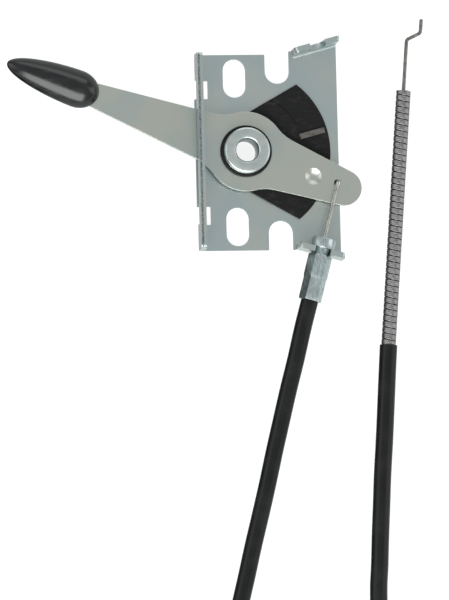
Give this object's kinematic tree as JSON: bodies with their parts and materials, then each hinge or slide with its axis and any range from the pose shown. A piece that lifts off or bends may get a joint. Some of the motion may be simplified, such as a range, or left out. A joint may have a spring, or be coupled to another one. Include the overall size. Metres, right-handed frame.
{
  "type": "throttle control lever",
  "caption": "Throttle control: a knobbed lever pivots on a bent steel bracket with a detent plate and pulls the inner wire of a sheathed Bowden cable.",
  "frame": {"origin": "the pivot axis at the back face of the bracket plate", "axes": "+X from the pivot towards the lever's cable arm, +Y up the bracket away from the cable ferrule, +Z out of the plate's front along the pivot axis"},
  "size_m": [0.1512, 0.313, 0.0144],
  "materials": {
    "zinc_sheet": "bright zinc plate on rolled sheet",
    "zinc_blade": "bright zinc plate on a pressed blade",
    "turned_steel": "bright zinc plate on turned steel",
    "spring_steel": "plain spring steel",
    "wire_steel": "drawn wire",
    "conduit_steel": "close-wound flat steel strip",
    "black_nylon": "moulded, slightly worn",
    "knob_plastic": "polished moulding",
    "jacket_pvc": "extruded, satin",
    "liner_plastic": "natural polyethylene",
    "tie_nylon": "natural nylon"
  },
  "bodies": {
    "base": {"bracket": "zinc_sheet", "pivot_bush": "turned_steel", "detent_plate": "black_nylon", "spring_washer": "spring_steel", "retaining_ring": "black_nylon", "cable_ferrule": "turned_steel", "jacket_lever_run": "jacket_pvc", "jacket_coil": "jacket_pvc", "coil_tie_left": "tie_nylon", "coil_tie_right": "tie_nylon", "jacket_end_run": "jacket_pvc", "bare_conduit": "conduit_steel", "conduit_liner": "liner_plastic"},
    "lever_arm": {"lever": "zinc_blade", "knob": "knob_plastic"},
    "wire_at_lever": {"lever_wire": "wire_steel"},
    "wire_at_engine": {"carburettor_wire": "wire_steel"}
  },
  "joints": [
    {"name": "lever_pivot", "type": "hinge", "parent": "base", "child": "lever_arm", "pos_m": [0, 0, 0.0048], "axis": [0, 0, 1], "range_deg": [-8, 26]},
    {"name": "wire_swivel", "type": "hinge", "parent": "lever_arm", "child": "wire_at_lever", "pos_m": [0.0328, -0.0117, 0.0048], "axis": [0, 0, 1], "range_deg": [-25, 8]},
    {"name": "wire_end_slide", "type": "slide", "parent": "base", "child": "wire_at_engine", "axis": [0.0872, 0.9962, 0], "range_m": [-0.0158, 0.0049]}
  ],
  "couplings": [
    {"joint": "wire_swivel", "follows": "lever_pivot", "ratio": -0.94},
    {"joint": "wire_end_slide", "follows": "lever_pivot", "m_per_rad": -0.0345}
  ]
}
